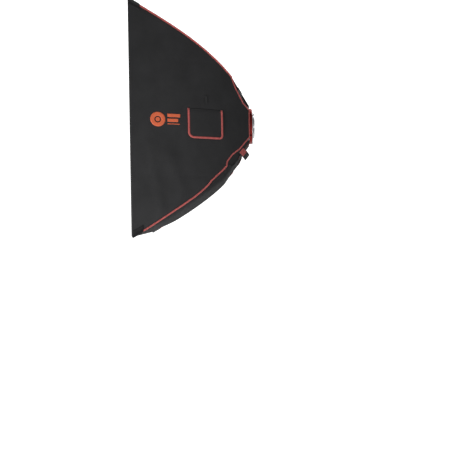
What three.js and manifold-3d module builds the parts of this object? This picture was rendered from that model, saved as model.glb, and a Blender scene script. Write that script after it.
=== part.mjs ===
// Studio softbox, 600 x 900 mm, on a rotating speed ring.
// Millimetres. The origin is the centre of the speed ring's rear face, the light leaves towards -X
// and +Z is up.
import * as THREE from "three";
import { mergeVertices } from "three/addons/utils/BufferGeometryUtils.js";
import Module from "manifold-3d";

const wasm = await Module();
wasm.setup();
const { Manifold, Mesh } = wasm;

// Driving dimensions.
const HALF_WIDTH = 300; // front rim, half size along Y
const HALF_HEIGHT = 450; // front rim, half size along Z
const REAR_HALF = 78; // the four panels meet the ring at this distance from the axis
const FRONT_X = -478;
const REAR_X = -13;
const BOW_REAR_DEG = 66; // slope of a sprung rod from the axis at its socket
const BOW_FRONT_DEG = 31; // and at its tip
const BOW_STEPS = 400;
const STATIONS = 15; // flat facets along each bowed panel

const CLOTH = 1.5; // two layers, black outside and silver inside
const SEAM_GAP = 3.2; // a panel's edge stays this far from its corner, for the piping
const PIPING_R = 2.4;
const BINDING_R = 1.8;

const ROD_R = 2.6;
const ROD_REAR = 54; // a rod's offset from the axis at its socket, along Y and Z
const ROD_FRONT_Y = 290;
const ROD_FRONT_Z = 440;
const ROD_TIP_T = 0.975;

const RING_OUTER_R = 75;
const RING_INNER_R = 58;
const RING_DEPTH = 14;
const INSERT_R = 46;
const FLANGE_R = 66.6;
const COLLAR_R = 49.5;
const COLLAR_END = 10.8;
const LUG_R = 56;
const LOCK_X = -4; // the lock screw runs along Y here
const LOCK_R = 2.5;
const LOCK_CLEARANCE = 0.3;

const SLIT_X = -83; // the corners are open from here to the ring
const LOW_SLIT_X = -108; // the near lower corner, where the tab is undone

const FLAP_REAR_X = -128;
const FLAP_FRONT_X = -260;
const FLAP_TOP_Z = 40;
const FLAP_LOW_Z = -72;
const FLAP_LIFT = 1.7; // the access flap lies this far outside the panel
const FLAP_T = 1;
const FLAP_BINDING_WIDTH = 5;
const DIFFUSER_X = -440.2;
const BAFFLE_X = -239.7;
const TAB_X = -55;
const TAB_WIDTH = 34;

const cloth = new THREE.MeshStandardMaterial({ color: 0x1c1c1e, roughness: 0.8 });
const trim = new THREE.MeshStandardMaterial({ color: 0x9c2a26, roughness: 0.7 });
const webbing = new THREE.MeshStandardMaterial({ color: 0x131313, roughness: 0.7 });
const diffusion = new THREE.MeshStandardMaterial({ color: 0xf2f2ee, roughness: 0.9 });
const anodised = new THREE.MeshStandardMaterial({ color: 0xb02a22, roughness: 0.35, metalness: 0.8 });
const steel = new THREE.MeshStandardMaterial({ color: 0xb8b8ba, roughness: 0.3, metalness: 0.9 });
const rodSteel = new THREE.MeshStandardMaterial({ color: 0xd0d0ce, roughness: 0.3, metalness: 0.9 });
const plastic = new THREE.MeshStandardMaterial({ color: 0x161616, roughness: 0.5 });

const group = new THREE.Group();

// A closed three.js geometry as a manifold-3d solid.
function solid(geometry) {
  const bare = geometry.index ? geometry.toNonIndexed() : geometry.clone();
  bare.deleteAttribute("normal");
  bare.deleteAttribute("uv");
  const merged = mergeVertices(bare, 1e-4);
  return new Manifold(
    new Mesh({
      numProp: 3,
      vertProperties: merged.attributes.position.array,
      triVerts: new Uint32Array(merged.index.array),
    }),
  );
}

function add(name, shape, material) {
  const out = shape.getMesh();
  const geometry = new THREE.BufferGeometry();
  geometry.setAttribute("position", new THREE.BufferAttribute(out.vertProperties, 3));
  geometry.setIndex(new THREE.BufferAttribute(out.triVerts, 1));
  geometry.computeVertexNormals();
  const mesh = new THREE.Mesh(geometry, material);
  mesh.name = name;
  group.add(mesh);
}

function join(shapes) {
  return Manifold.union(shapes);
}

// A closed outline in XY, extruded from z0 to z1.
function prism(points, z0, z1) {
  const shape = new THREE.Shape(points.map(([x, y]) => new THREE.Vector2(x, y)));
  const geometry = new THREE.ExtrudeGeometry(shape, { depth: z1 - z0, bevelEnabled: false });
  return solid(geometry.translate(0, 0, z0));
}

function box(x0, x1, y0, y1, z0, z1) {
  const geometry = new THREE.BoxGeometry(x1 - x0, y1 - y0, z1 - z0);
  return solid(geometry.translate((x0 + x1) / 2, (y0 + y1) / 2, (z0 + z1) / 2));
}

// A turned part: [x, radius] points in order, clockwise in that plane, round the X axis.
function turned(points, sides = 64) {
  const closed = [...points, points[0]].reverse();
  const geometry = new THREE.LatheGeometry(closed.map(([x, r]) => new THREE.Vector2(r, -x)), sides);
  return solid(geometry.rotateZ(Math.PI / 2));
}

// A round bar from one point to another.
function bar(from, to, radius, sides = 16) {
  const length = from.distanceTo(to);
  const geometry = new THREE.CylinderGeometry(radius, radius, length, sides);
  const turn = new THREE.Quaternion().setFromUnitVectors(
    new THREE.Vector3(0, 1, 0),
    to.clone().sub(from).normalize(),
  );
  const middle = from.clone().add(to).multiplyScalar(0.5);
  return solid(geometry.applyQuaternion(turn).translate(middle.x, middle.y, middle.z));
}

// A smooth tube through the points.
function tube(points, radius, sides = 8) {
  const outline = new THREE.Shape();
  for (let i = 0; i < sides; i++) {
    const angle = (2 * Math.PI * i) / sides;
    const corner = [radius * Math.cos(angle), radius * Math.sin(angle)];
    if (i) outline.lineTo(...corner);
    else outline.moveTo(...corner);
  }
  const extrudePath = new THREE.CatmullRomCurve3(points);
  return solid(new THREE.ExtrudeGeometry(outline, { steps: points.length * 2, extrudePath }));
}

// A bead that follows straight runs between the points.
function bead(points, radius) {
  const ball = (p) => solid(new THREE.SphereGeometry(radius, 8, 6).translate(p.x, p.y, p.z));
  const balls = points.map(ball);
  return join(balls.slice(1).map((next, i) => Manifold.hull([balls[i], next])));
}

function hullOf(points) {
  return Manifold.hull(points.map((p) => [p.x, p.y, p.z]));
}

// A rod's bow: its slope falls from the socket to the tip, as on a sprung rod held straight at its tip.
function bowCurve() {
  const raw = [[0, 0]];
  for (let i = 0; i < BOW_STEPS; i++) {
    const left = 1 - (i + 0.5) / BOW_STEPS;
    const slope = THREE.MathUtils.degToRad(BOW_FRONT_DEG + (BOW_REAR_DEG - BOW_FRONT_DEG) * left * left);
    const [x, r] = raw[i];
    raw.push([x + Math.cos(slope), r + Math.sin(slope)]);
  }
  const [endX, endR] = raw[BOW_STEPS];
  return raw.map(([x, r]) => [REAR_X + ((FRONT_X - REAR_X) * x) / endX, r / endR]);
}

const bow = bowCurve();
const stations = [...Array(STATIONS + 1).keys()].map((i) => bow[Math.round((i * BOW_STEPS) / STATIONS)]);

// How far out the bow is at x, from 0 at the ring to 1 at the rim, along the same facets as the panels.
function spread(x) {
  for (let i = 1; i < stations.length; i++) {
    const [x0, t0] = stations[i - 1];
    const [x1, t1] = stations[i];
    if (x >= x1 || i === stations.length - 1) return t0 + ((t1 - t0) * (x - x0)) / (x1 - x0);
  }
}

const sideY = (x) => REAR_HALF + (HALF_WIDTH - REAR_HALF) * spread(x);
const topZ = (x) => REAR_HALF + (HALF_HEIGHT - REAR_HALF) * spread(x);
const slopeOf = (out, x) => (out(x + 2) - out(x - 2)) / 4;
const at = (x, y, z) => new THREE.Vector3(x, y, z);

// A panel is made lying across Y with its outside up (+Z), then turned to its side of the box.
const SIDES = {
  near: { turn: 90, out: sideY, across: topZ },
  far: { turn: -90, out: sideY, across: topZ },
  top: { turn: 0, out: topZ, across: sideY },
  bottom: { turn: 180, out: topZ, across: sideY },
};

// The bowed sheet from lift below to lift above the panel's outer face, between two places along X.
function bowedSheet(out, low, high, x0 = REAR_X, x1 = FRONT_X) {
  const xs = [x0, ...stations.map(([x]) => x).filter((x) => x < x0 - 1 && x > x1 + 1), x1];
  const rise = (x, lift) => {
    const slope = slopeOf(out, THREE.MathUtils.clamp(x, FRONT_X + 3, REAR_X - 3));
    return out(x) + lift * Math.sqrt(1 + slope * slope);
  };
  const above = xs.map((x) => [x, rise(x, high)]);
  const below = xs.map((x) => [x, rise(x, low)]).reverse();
  return prism([...above, ...below], -500, 500).rotate([90, 0, 0]);
}

// A panel's edge, [x, half width], from the rim to where its corner slit starts.
function seamEdge(side, slitX) {
  const xs = [...stations.map(([x]) => x).filter((x) => x < slitX - 1), slitX].sort((a, b) => a - b);
  return xs.map((x) => {
    const inside = THREE.MathUtils.clamp(x, FRONT_X + 3, REAR_X - 3);
    const across = slopeOf(side.across, inside);
    const out = slopeOf(side.out, inside);
    const inset = SEAM_GAP * Math.sqrt(1 + (across * across) / (1 + out * out));
    return [x, side.across(x) - inset];
  });
}

// The rear flap's edge beyond the slit, [x, half width].
const TALL_FLAP = [[SLIT_X, 174], [-70, 140], [TAB_X, 112], [REAR_X, 57]];
const TALL_FLAP_UNDONE = [[LOW_SLIT_X, 172], [-87, 140], [TAB_X, 108], [REAR_X, 57]];
const WIDE_FLAP = [[SLIT_X, 134], [REAR_X, 60]];
const FLAP_EDGES = {
  near: [TALL_FLAP, TALL_FLAP_UNDONE],
  far: [TALL_FLAP, TALL_FLAP],
  top: [WIDE_FLAP, WIDE_FLAP],
  bottom: [WIDE_FLAP, WIDE_FLAP],
};

function panel(name) {
  const side = SIDES[name];
  const [plus, minus] = FLAP_EDGES[name].map((flap) => [...seamEdge(side, flap[0][0]), ...flap]);
  const outline = [...plus, ...minus.map(([x, w]) => [x, -w]).reverse()];
  const sheet = bowedSheet(side.out, -CLOTH, 0).intersect(prism(outline, -600, 600));
  return sheet.subtract(bead(rearEdge(name), BINDING_R + 0.35)).rotate([side.turn, 0, 0]);
}

// A rounded rectangle in XY, as points.
function roundedOutline(x0, x1, y0, y1, radii) {
  const corners = [
    [x1, y1, 0],
    [x0, y1, 90],
    [x0, y0, 180],
    [x1, y0, 270],
  ];
  return corners.flatMap(([x, y, start], i) => {
    const r = radii[i];
    const cx = x + (x === x1 ? -r : r);
    const cy = y + (y === y1 ? -r : r);
    const count = r > 1 ? 6 : 1;
    return [...Array(count).keys()].map((k) => {
      const angle = THREE.MathUtils.degToRad(start + (count > 1 ? (90 * k) / (count - 1) : 45));
      return r > 1 ? [cx + r * Math.cos(angle), cy + r * Math.sin(angle)] : [x, y];
    });
  });
}

// A flat rounded sheet across the axis, from x0 to x1.
function crossSheet(x0, x1, halfY, halfZ, radius) {
  const outline = roundedOutline(-halfY, halfY, -halfZ, halfZ, [radius, radius, radius, radius]);
  return prism(outline, x0, x1).rotate([90, 0, 90]);
}

// The room inside the four panels between two places along X, drawn in by an inset.
function chamber(x0, x1, inset) {
  const corners = [x0, x1].flatMap((x) =>
    [1, -1].flatMap((sy) => [1, -1].map((sz) => at(x, sy * (sideY(x) - inset), sz * (topZ(x) - inset)))),
  );
  return hullOf(corners);
}

function addPanels() {
  const cut = prism(
    roundedOutline(FLAP_FRONT_X + 12, FLAP_REAR_X - 12, FLAP_LOW_Z + 12, FLAP_TOP_Z - 10, [4, 4, 10, 8]),
    100,
    400,
  ).rotate([90, 0, 0]);
  add("panel_near", panel("near").subtract(cut), cloth);
  add("panel_far", panel("far"), cloth);
  add("panel_top", panel("top"), cloth);
  add("panel_bottom", panel("bottom"), cloth);
}

const CORNERS = [
  { name: "near_top", sy: -1, sz: 1, slit: SLIT_X },
  { name: "near_bottom", sy: -1, sz: -1, slit: LOW_SLIT_X },
  { name: "far_top", sy: 1, sz: 1, slit: SLIT_X },
  { name: "far_bottom", sy: 1, sz: -1, slit: SLIT_X },
];

function addCornerPiping({ name, sy, sz, slit }) {
  const xs = stations.map(([x]) => x).filter((x) => x < slit - 8);
  const ends = [slit - 5, ...xs.slice(0, -1), FRONT_X + 3];
  const points = ends.map((x) => at(x, sy * (sideY(x) - 0.2), sz * (topZ(x) - 0.2)));
  add("corner_piping_" + name, tube(points, PIPING_R), trim);
}

// The line of the binding round a panel's rear flap, just off its cut edge.
function rearEdge(name) {
  const side = SIDES[name];
  const off = BINDING_R + 0.6;
  const [plus, minus] = FLAP_EDGES[name].map((flap) => {
    const steps = [];
    flap.slice(1).forEach(([x1, w1], i) => {
      const [x0, w0] = flap[i];
      const count = Math.ceil(Math.abs(x1 - x0) / 14);
      for (let k = i ? 1 : 0; k <= count; k++) {
        steps.push([x0 + ((x1 - x0) * k) / count, w0 + ((w1 - w0) * k) / count]);
      }
    });
    return steps.slice(1, -1).map(([x, w]) => at(x, w + off * 1.25, side.out(x) - CLOTH * 0.9));
  });
  const rear = [1, -1].map((s) => at(REAR_X + off, s * 59, side.out(REAR_X) - CLOTH / 2));
  return [...plus, ...rear, ...minus.map((p) => at(p.x, -p.y, p.z)).reverse()];
}

function addRearBinding(name) {
  add("rear_binding_" + name, bead(rearEdge(name), BINDING_R).rotate([SIDES[name].turn, 0, 0]), trim);
}

// The stiffened patch over each front corner, where a rod's tip sits.
function addCornerPocket({ name, sy, sz }) {
  const place = (x, dy, dz) => at(x, sy * (sideY(x) + dy), sz * (topZ(x) + dz));
  const ends = [FRONT_X + 0.6, FRONT_X + 53];
  const reach = -24; // down each panel from the corner
  const corner = [[4.8, 4.8], [3.4, 3.4]];
  const onSide = [...corner, [1.9, reach], [0.6, reach]];
  const onTop = [...corner, [reach, 1.9], [reach, 0.6]];
  const leaf = (section) => hullOf(ends.flatMap((x) => section.map(([dy, dz]) => place(x, dy, dz))));
  add("corner_pocket_" + name, join([leaf(onSide), leaf(onTop)]), webbing);
}

function rodPoint(t, sy, sz) {
  const step = Math.min(bow.length - 1, Math.max(0, bow.findIndex(([, spreadHere]) => spreadHere >= t)));
  const y = ROD_REAR + (ROD_FRONT_Y - ROD_REAR) * t;
  const z = ROD_REAR + (ROD_FRONT_Z - ROD_REAR) * t;
  return at(bow[step][0], sy * y, sz * z);
}

// One sprung steel rod, its socket on the ring and its plastic tip.
function addRod({ name, sy, sz }) {
  const points = [...Array(17).keys()].map((i) => rodPoint((ROD_TIP_T * i) / 16, sy, sz));
  add("rod_" + name, tube(points, ROD_R), rodSteel);

  const start = points[0];
  const ahead = points[1].clone().sub(start).normalize();
  const along = (distance) => start.clone().addScaledVector(ahead, distance);
  const sleeve = bar(along(-4), along(24), 6, 20).subtract(bar(along(-0.6), along(26), ROD_R + 0.9, 20));
  add("rod_socket_" + name, sleeve, steel);

  const tip = points[16];
  const back = tip.clone().sub(points[15]).normalize();
  const beyond = (distance) => tip.clone().addScaledVector(back, distance);
  const cap = bar(beyond(-14), beyond(3), 4.2).subtract(bar(beyond(-16), beyond(0.5), ROD_R + 0.5));
  add("rod_tip_" + name, cap, plastic);
  return bar(along(-4.3), along(24), 6.3, 20);
}

function addRing(socketCuts) {
  const body = turned([
    [-RING_DEPTH, RING_INNER_R],
    [-RING_DEPTH, RING_OUTER_R],
    [0, RING_OUTER_R],
    [0, FLANGE_R + 0.6],
    [-8, FLANGE_R + 0.6],
    [-8, RING_INNER_R],
  ]);
  const bosses = CORNERS.map(({ sy, sz }) => {
    const boss = new THREE.BoxGeometry(11, 20, 24).translate(-8.5, 76, 0);
    return solid(boss.rotateX(Math.atan2(sz, sy)));
  });
  const throat = bar(at(-8, 0, 0), at(5, 0, 0), FLANGE_R + 0.6, 64);
  const lockHole = bar(at(LOCK_X, 60, 0), at(LOCK_X, 90, 0), LOCK_R + LOCK_CLEARANCE);
  const screwHoles = screwPlaces().map(([y, z]) => bar(at(-7, y, z), at(1, y, z), 1.9));
  const holes = join([...socketCuts, throat, lockHole, ...screwHoles]);
  add("speed_ring", join([body, ...bosses]).subtract(holes), anodised);
}

function screwPlaces() {
  return [[0, 71], [-71, 0], [0, -71], [71 * Math.cos(0.5), 71 * Math.sin(0.5)]];
}

function addInsert() {
  const core = turned([
    [-7.6, INSERT_R],
    [-7.6, FLANGE_R],
    [-0.4, FLANGE_R],
    [-0.4, COLLAR_R],
    [COLLAR_END, COLLAR_R],
    [COLLAR_END, INSERT_R],
  ]);
  const lugRing = turned([[7, 48], [7, LUG_R], [COLLAR_END, LUG_R], [COLLAR_END, 48]]);
  const lugs = [90, 210, 330].map((deg) => {
    const sector = new THREE.BoxGeometry(30, 28, 28).translate(10, 56, 0);
    return lugRing.intersect(solid(sector.rotateX(THREE.MathUtils.degToRad(deg))));
  });
  add("bayonet_insert", join([core, ...lugs]), steel);

  const plate = turned([[0.3, 61], [0.3, 74.6], [2.8, 74.6], [2.8, 61]]);
  const holes = join(screwPlaces().map(([y, z]) => bar(at(-1, y, z), at(4, y, z), 2)));
  add("retaining_ring", plate.subtract(holes), steel);
  screwPlaces().forEach(([y, z], i) => {
    const head = bar(at(3.1, y, z), at(5, y, z), 3.1);
    const shank = bar(at(-6.5, y, z), at(3.6, y, z), 1.6);
    const slot = box(4.2, 5.5, y - 0.4, y + 0.4, z - 4, z + 4);
    add("retaining_screw_" + (i + 1), join([head, shank]).subtract(slot), steel);
  });
}

// The thumb screw that stops the insert from turning.
function addLock() {
  const along = (y0, y1, radius, sides) => bar(at(LOCK_X, y0, 0), at(LOCK_X, y1, 0), radius, sides);
  const washer = along(76.4, 77.6, 4.3, 24).subtract(along(70, 80, LOCK_R + 0.4));
  add("lock_washer", washer, steel);
  add("lock_screw", along(67.1, 96, LOCK_R), steel);
  const hub = along(84, 100, 5.2, 24);
  const grips = [...Array(8).keys()].map((i) => {
    const angle = (i * Math.PI) / 4;
    const x = LOCK_X + 4.8 * Math.cos(angle);
    const z = 4.8 * Math.sin(angle);
    return bar(at(x, 85, z), at(x, 99, z), 1.3, 8);
  });
  const knob = join([hub, ...grips]).subtract(along(80, 96.4, LOCK_R + LOCK_CLEARANCE));
  add("lock_knob", knob, plastic);
}

function addFront() {
  const lip = crossSheet(FRONT_X - 4.6, FRONT_X - 0.4, HALF_WIDTH + 1.5, HALF_HEIGHT + 1.5, 2);
  const mouth = crossSheet(FRONT_X - 6, FRONT_X + 1, HALF_WIDTH - 4.5, HALF_HEIGHT - 4.5, 2);
  add("rim_binding", lip.subtract(mouth), webbing);

  add("loop_tape", chamber(-446, -474, 2.3).subtract(chamber(-440, -477, 3.4)), webbing);

  const halfY = sideY(DIFFUSER_X) - 7;
  const halfZ = topZ(DIFFUSER_X) - 7;
  add("front_diffuser", crossSheet(DIFFUSER_X - 0.7, DIFFUSER_X, halfY, halfZ, 40), diffusion);

  const frameX = DIFFUSER_X - 1;
  const flat = crossSheet(frameX - 1, frameX, halfY + 3, halfZ + 3, 42);
  const inner = crossSheet(frameX - 3, frameX + 2, halfY - 20, halfZ - 20, 20);
  const flange = chamber(frameX, frameX - 22, 3.7)
    .subtract(chamber(frameX + 3, frameX - 24, 5))
    .subtract(join([
      box(-470, -430, 230, 320, 350, 460),
      box(-470, -430, -320, -230, 350, 460),
      box(-470, -430, 230, 320, -460, -350),
      box(-470, -430, -320, -230, -460, -350),
    ]));
  add("diffuser_border", join([flat.subtract(inner), flange]), webbing);
}

function addBaffle() {
  add("inner_baffle", crossSheet(BAFFLE_X - 0.7, BAFFLE_X, 185, 270, 12), diffusion);
  const outer = crossSheet(BAFFLE_X - 2.2, BAFFLE_X - 1, 186, 271, 12);
  const window = crossSheet(BAFFLE_X - 4, BAFFLE_X, 172, 257, 8);
  add("baffle_hem", outer.subtract(window), webbing);
  const reach = sideY(BAFFLE_X) - 2.6;
  CORNERS.forEach(({ name, sy, sz }) => {
    const [y0, y1] = sy > 0 ? [186.6, reach] : [-reach, -186.6];
    const strap = box(BAFFLE_X - 1.4, BAFFLE_X, y0, y1, sz * 250 - 7, sz * 250 + 7);
    add("baffle_strap_" + name, strap, webbing);
  });
}

function flapOutline(inset) {
  const [x0, x1] = [FLAP_FRONT_X + inset, FLAP_REAR_X - inset];
  const radii = [2, 2, 20 - inset, 12 - inset];
  return roundedOutline(x0, x1, FLAP_LOW_Z + inset, FLAP_TOP_Z, radii);
}

// The flap over the hand opening in the near side, hinged along its top edge.
function addAccessFlap() {
  const outline = prism(flapOutline(0), 0, 500);
  const sheet = (low, high) => bowedSheet(sideY, low, high, FLAP_REAR_X + 10, FLAP_FRONT_X - 10);
  const addCut = (name, low, high, shape, material) => {
    add(name, sheet(low, high).intersect(shape).rotate([90, 0, 0]), material);
  };
  addCut("access_flap", FLAP_LIFT, FLAP_LIFT + FLAP_T, outline, cloth);

  const inside = prism(flapOutline(FLAP_BINDING_WIDTH), -1, 501);
  const below = box(-400, 0, -200, FLAP_TOP_Z - 1, 0, 500);
  const edge = outline.subtract(inside).intersect(below);
  addCut("access_flap_binding", FLAP_LIFT + FLAP_T + 0.3, FLAP_LIFT + FLAP_T + 1.2, edge, trim);

  addCut("flap_hook_tape", 0.4, 1.4, box(-244, -144, -70, -64, 0, 500), webbing);
  addCut("flap_keeper", 0.4, 1.8, box(-194, -186, 62, 94, 0, 500), webbing);
}

// A webbing tab sewn to a tall panel's rear flap. Done up, it folds over the slit onto its neighbour.
function addTab({ name, sy, sz }, undone) {
  const slopeY = slopeOf(sideY, TAB_X);
  const slopeZ = slopeOf(topZ, TAB_X);
  const outSide = at(-slopeY, sy, 0).normalize();
  const outTop = at(-slopeZ, 0, sz).normalize();
  const corner = at(1, sy * slopeY, sz * slopeZ).normalize();
  const acrossSide = corner.clone().cross(outSide).normalize();
  if (acrossSide.z * sz < 0) acrossSide.negate();
  const acrossTop = corner.clone().cross(outTop).normalize();
  if (acrossTop.y * sy > 0) acrossTop.negate();

  const base = at(TAB_X, sy * sideY(TAB_X), sz * 110);
  const onCorner = at(TAB_X, sy * sideY(TAB_X), sz * topZ(TAB_X));
  const shift = base.clone().sub(onCorner).dot(corner);
  const fold = onCorner.addScaledVector(corner, shift);
  const outFold = outSide.clone().add(outTop).divideScalar(1 + outSide.dot(outTop));

  const halfWidth = corner.clone().multiplyScalar(TAB_WIDTH / 2);
  const slab = (from, fromOut, to, toOut) => {
    const points = [1.6, 3.2].flatMap((lift) => [
      from.clone().addScaledVector(fromOut, lift),
      to.clone().addScaledVector(toOut, lift),
    ]);
    return hullOf(points.flatMap((p) => [p.clone().add(halfWidth), p.clone().sub(halfWidth)]));
  };
  const sewn = base.clone().addScaledVector(acrossSide, -9);
  if (undone) {
    const end = base.clone().addScaledVector(acrossSide, 52);
    add("corner_tab_" + name, slab(sewn, outSide, end, outSide), webbing);
    return;
  }
  const end = fold.clone().addScaledVector(acrossTop, 30);
  const folded = join([slab(sewn, outSide, fold, outFold), slab(fold, outFold, end, outTop)]);
  add("corner_tab_" + name, folded, webbing);
}

addPanels();
CORNERS.forEach(addCornerPiping);
Object.keys(SIDES).forEach(addRearBinding);
CORNERS.forEach(addCornerPocket);
addRing(CORNERS.map(addRod));
addInsert();
addLock();
addFront();
addBaffle();
addAccessFlap();
CORNERS.forEach((corner) => addTab(corner, corner.name === "near_bottom"));

export default group;
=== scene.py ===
"""Studio softbox, 600 x 900 mm, on a rotating speed ring.

Metres. The origin is the centre of the ring's rear face. The light leaves towards -X, +Z is up, and the
near side, with the access flap, faces -Y.
"""

import math

import bpy
import numpy as np
from mathutils import Matrix, Vector, noise


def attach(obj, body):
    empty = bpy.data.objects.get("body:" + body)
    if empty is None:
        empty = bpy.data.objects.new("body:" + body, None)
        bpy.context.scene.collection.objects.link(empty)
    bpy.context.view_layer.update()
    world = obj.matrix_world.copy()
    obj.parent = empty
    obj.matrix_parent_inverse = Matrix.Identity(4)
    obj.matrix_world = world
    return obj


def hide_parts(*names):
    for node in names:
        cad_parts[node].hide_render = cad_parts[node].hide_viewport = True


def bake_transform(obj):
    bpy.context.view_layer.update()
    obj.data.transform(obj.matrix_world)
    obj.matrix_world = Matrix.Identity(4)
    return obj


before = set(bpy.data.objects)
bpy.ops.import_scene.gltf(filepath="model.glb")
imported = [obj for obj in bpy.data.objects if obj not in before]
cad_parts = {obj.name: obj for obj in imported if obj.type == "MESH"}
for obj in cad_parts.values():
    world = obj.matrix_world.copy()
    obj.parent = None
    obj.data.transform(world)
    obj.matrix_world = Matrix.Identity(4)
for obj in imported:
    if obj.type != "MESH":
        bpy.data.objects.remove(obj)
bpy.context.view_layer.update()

# The cloth: half its front opening, half its square rear edge, and where both lie along the axis.
HALF_WIDTH, HALF_HEIGHT = 0.300, 0.450
REAR_HALF = 0.078
FRONT_X, REAR_X = -0.478, -0.013
CLOTH_T = 0.0009
PIPING_R = 0.0034

# The bow of a rod: its slope at each end, in degrees.
BOW_REAR_DEG, BOW_FRONT_DEG, BOW_STEPS = 66, 31, 400

# Where the corner slits begin, and the lower near one, which runs further.
SLIT_X, LOW_SLIT_X = -0.083, -0.108
TAB_X, TAB_WIDTH = -0.055, 0.034

# The access flap, its rounded front and rear corners, and the hand opening under it, with the columns
# of the near side's grid that the opening takes up.
FLAP_X = (-0.260, -0.128)
FLAP_Z = (-0.076, 0.040)
FLAP_CORNER_R = (0.020, 0.012)
FLAP_LIFT = 0.0018
HAND_X = (FLAP_X[0] + 0.012, FLAP_X[1] - 0.012)
HAND_Z = (FLAP_Z[0] + 0.012, FLAP_Z[1] - 0.010)
HAND_COLUMNS = (34, 54)

DIFFUSER_X, DIFFUSER_CORNER_R = -0.4402, 0.040
BAFFLE_X = -0.2397

# The rods lie inside the seams: how far out they start, and how much further they reach.
ROD_D = 0.0052
ROD_START, ROD_REACH_Y, ROD_REACH_Z, ROD_END = 0.054, 0.236, 0.386, 0.975

LOCK_X = -0.004
SCREW_CIRCLE_R = 0.071

# How far the near lower front corner hangs, and how far the top and bottom panels swell.
HANG = 0.018
SWELL = 0.014

CAMERA_PLACE = (-0.1022, -2.6116, -0.4475)
CAMERA_ROLL = -0.0172
CAMERA_LENS_MM = 46.95652174

# Each corner: its signs across Y and Z, and where its slit begins.
CORNERS = {
    "near_top": (-1, 1, SLIT_X),
    "near_bottom": (-1, -1, LOW_SLIT_X),
    "far_top": (1, 1, SLIT_X),
    "far_bottom": (1, -1, SLIT_X),
}


# ---------------------------------------------------------------- camera, stage and light


def make_camera():
    data = bpy.data.cameras.new("camera")
    data.sensor_width = 36
    data.lens = CAMERA_LENS_MM
    camera = bpy.data.objects.new("camera", data)
    camera.location = CAMERA_PLACE
    level = Matrix.Rotation(math.radians(90), 4, "X")
    camera.rotation_euler = (level @ Matrix.Rotation(CAMERA_ROLL, 4, "Z")).to_euler()
    bpy.context.collection.objects.link(camera)
    bpy.context.scene.camera = camera


def make_stage():
    """A glowing floor that sweeps up into a back wall. It is hidden from diffuse rays."""
    floor_z, back_y, radius = -1.34, 3.2, 1.4
    line = [(-6.0, floor_z), (back_y - radius, floor_z)]
    for k in range(1, 13):
        angle = math.radians(90 * k / 12)
        y = back_y - radius + radius * math.sin(angle)
        line.append((y, floor_z + radius - radius * math.cos(angle)))
    line.append((back_y, 5.0))
    verts = [(x, y, z) for y, z in line for x in (-8, 8)]
    faces = [(2 * i, 2 * i + 1, 2 * i + 3, 2 * i + 2) for i in range(len(line) - 1)]
    mesh = bpy.data.meshes.new("backdrop")
    mesh.from_pydata(verts, [], faces)
    for face in mesh.polygons:
        face.use_smooth = True
    backdrop = bpy.data.objects.new("backdrop", mesh)
    bpy.context.collection.objects.link(backdrop)
    paper = bpy.data.materials.new("backdrop_paper")
    paper.use_nodes = True
    shader = paper.node_tree.nodes["Principled BSDF"]
    shader.inputs["Base Color"].default_value = (0.93, 0.93, 0.93, 1)
    shader.inputs["Emission Color"].default_value = (1, 1, 1, 1)
    shader.inputs["Emission Strength"].default_value = 0.7
    shader.inputs["Roughness"].default_value = 0.9
    shader.inputs["Specular IOR Level"].default_value = 0.1
    mesh.materials.append(paper)
    backdrop.visible_diffuse = False


def area_light(name, place, aim, size, power):
    data = bpy.data.lights.new(name, "AREA")
    data.shape = "DISK"
    data.size = size
    data.energy = power
    light = bpy.data.objects.new(name, data)
    light.location = place
    light.rotation_euler = (Vector(aim) - Vector(place)).to_track_quat("-Z", "Y").to_euler()
    bpy.context.collection.objects.link(light)


def make_light():
    """White surroundings, dimmer for the object than for the camera, and three lamps."""
    world = bpy.data.worlds.new("studio")
    world.use_nodes = True
    sky = world.node_tree.nodes["Background"]
    sky.inputs["Color"].default_value = (1, 1, 1, 1)
    path = world.node_tree.nodes.new("ShaderNodeLightPath")
    strength = world.node_tree.nodes.new("ShaderNodeMapRange")
    strength.inputs["To Min"].default_value = 0.37
    strength.inputs["To Max"].default_value = 1.0
    world.node_tree.links.new(path.outputs["Is Camera Ray"], strength.inputs["Value"])
    world.node_tree.links.new(strength.outputs[0], sky.inputs["Strength"])
    bpy.context.scene.world = world
    bpy.context.scene.view_settings.view_transform = "Standard"
    area_light("overhead", (0.0, 1.4, 2.8), (0.0, 1.6, -1.3), 3.0, 60)
    area_light("low_left", (-1.2, -1.3, -1.15), (-0.4, -0.2, -0.35), 0.8, 38)
    area_light("right", (1.3, -1.9, -0.5), (-0.10, -0.15, -0.10), 0.9, 6)


# ---------------------------------------------------------------- mesh helpers


def new_piece(name, verts, faces, materials, body, uvs=None, rounded=True):
    """A mesh object on a body, or on none yet. uvs holds one pair for each vertex."""
    mesh = bpy.data.meshes.new(name)
    mesh.from_pydata([tuple(v) for v in verts], [], faces)
    for material in materials:
        mesh.materials.append(material)
    mesh.polygons.foreach_set("use_smooth", [rounded] * len(mesh.polygons))
    if uvs is not None:
        layer = mesh.uv_layers.new(name="cloth")
        for loop in mesh.loops:
            layer.data[loop.index].uv = uvs[loop.vertex_index]
    piece = bpy.data.objects.new(name, mesh)
    bpy.context.collection.objects.link(piece)
    if body:
        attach(piece, body)
    return piece


def grid_faces(rows, columns, skip=lambda i, j: False):
    """Quads of a grid whose points run along each row in turn, without the ones that skip picks."""
    return [
        (i * columns + j, i * columns + j + 1, (i + 1) * columns + j + 1, (i + 1) * columns + j)
        for i in range(rows - 1)
        for j in range(columns - 1)
        if not skip(i, j)
    ]


def thicken(piece, thickness, inner=0, offset=-1):
    """Gives a sheet its thickness. Offset -1 is inwards from its outer face and 0 is both ways."""
    solid = piece.modifiers.new("thickness", "SOLIDIFY")
    solid.thickness = thickness
    solid.offset = offset
    solid.material_offset = inner


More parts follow.
